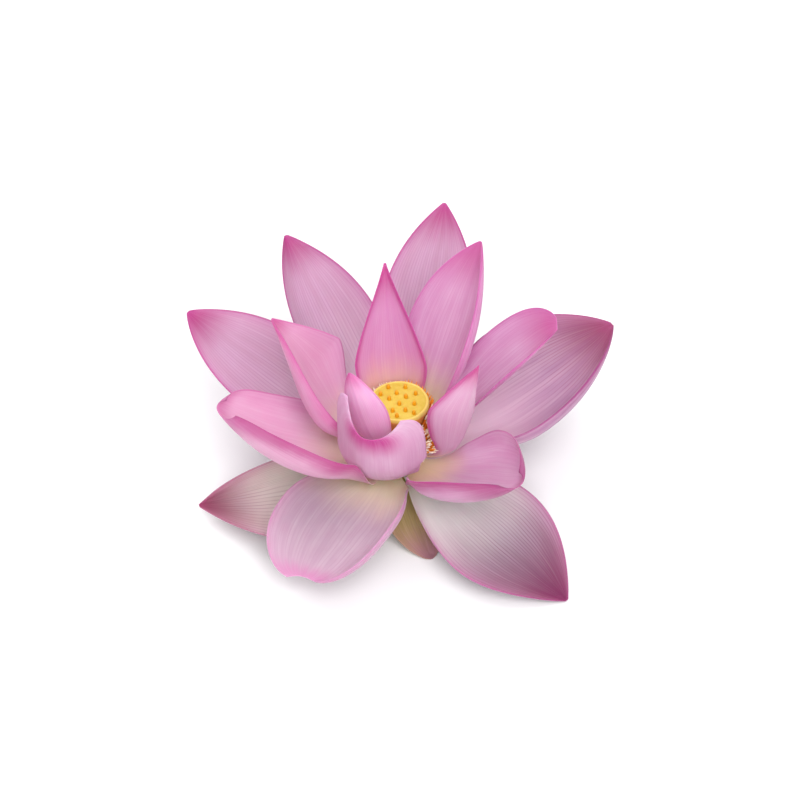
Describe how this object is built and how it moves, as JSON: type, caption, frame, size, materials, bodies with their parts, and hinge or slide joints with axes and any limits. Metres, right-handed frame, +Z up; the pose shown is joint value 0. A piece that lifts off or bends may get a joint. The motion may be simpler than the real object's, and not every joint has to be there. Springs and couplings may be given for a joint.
{
  "type": "lotus flower",
  "caption": "Open pink lotus flower, picked with a short stalk, with pointed petals in loose layers round a yellow seed pod and its ring of stamens.",
  "frame": {"origin": "centre of the cut end of the stalk, on the surface that the flower rests on", "axes": "+Z up along the flower's own axis, -Y to the front, the side the bloom shows, and +X to the right seen from the front"},
  "size_m": [0.189, 0.1753, 0.1028],
  "materials": {
    "stalk": "green plant skin with small dark prickles, satin",
    "base": "pale yellow-green plant flesh, matte",
    "pod": "yellow spongy flesh with a paler rim and orange-yellow pistil tips, matte",
    "stamen": "orange-yellow filaments and anthers with cream tips, matte",
    "petal_outer": "lilac-grey pink with fine veins, magenta tip and cream-green base, satin",
    "petal_inner": "saturated pink with fine veins, magenta margin and cream base, satin",
    "sepal": "olive green turning brown-pink at the tip, matte"
  },
  "bodies": {
    "root": {"stalk": "stalk", "flower_base": "base", "seed_pod": "pod", "stamens": "stamen", "outer_petal_back_right": "petal_outer", "outer_petal_back_left": "petal_outer", "outer_petal_left": "petal_outer", "outer_petal_front": "petal_outer", "outer_petal_front_right": "petal_outer", "outer_petal_back_left_long": "petal_outer", "outer_petal_right": "petal_outer", "middle_petal_back": "petal_outer", "middle_petal_back_left": "petal_outer", "middle_petal_left": "petal_inner", "middle_petal_front_right": "petal_inner", "middle_petal_right": "petal_inner", "inner_petal_back_right": "petal_inner", "inner_petal_left": "petal_inner", "inner_petal_back": "petal_inner", "inner_petal_right": "petal_inner", "inner_petal_front_left": "petal_inner", "inner_petal_front": "petal_inner", "sepal_front": "sepal", "sepal_right": "sepal", "sepal_back": "sepal", "sepal_left": "sepal"}
  },
  "joints": []
}
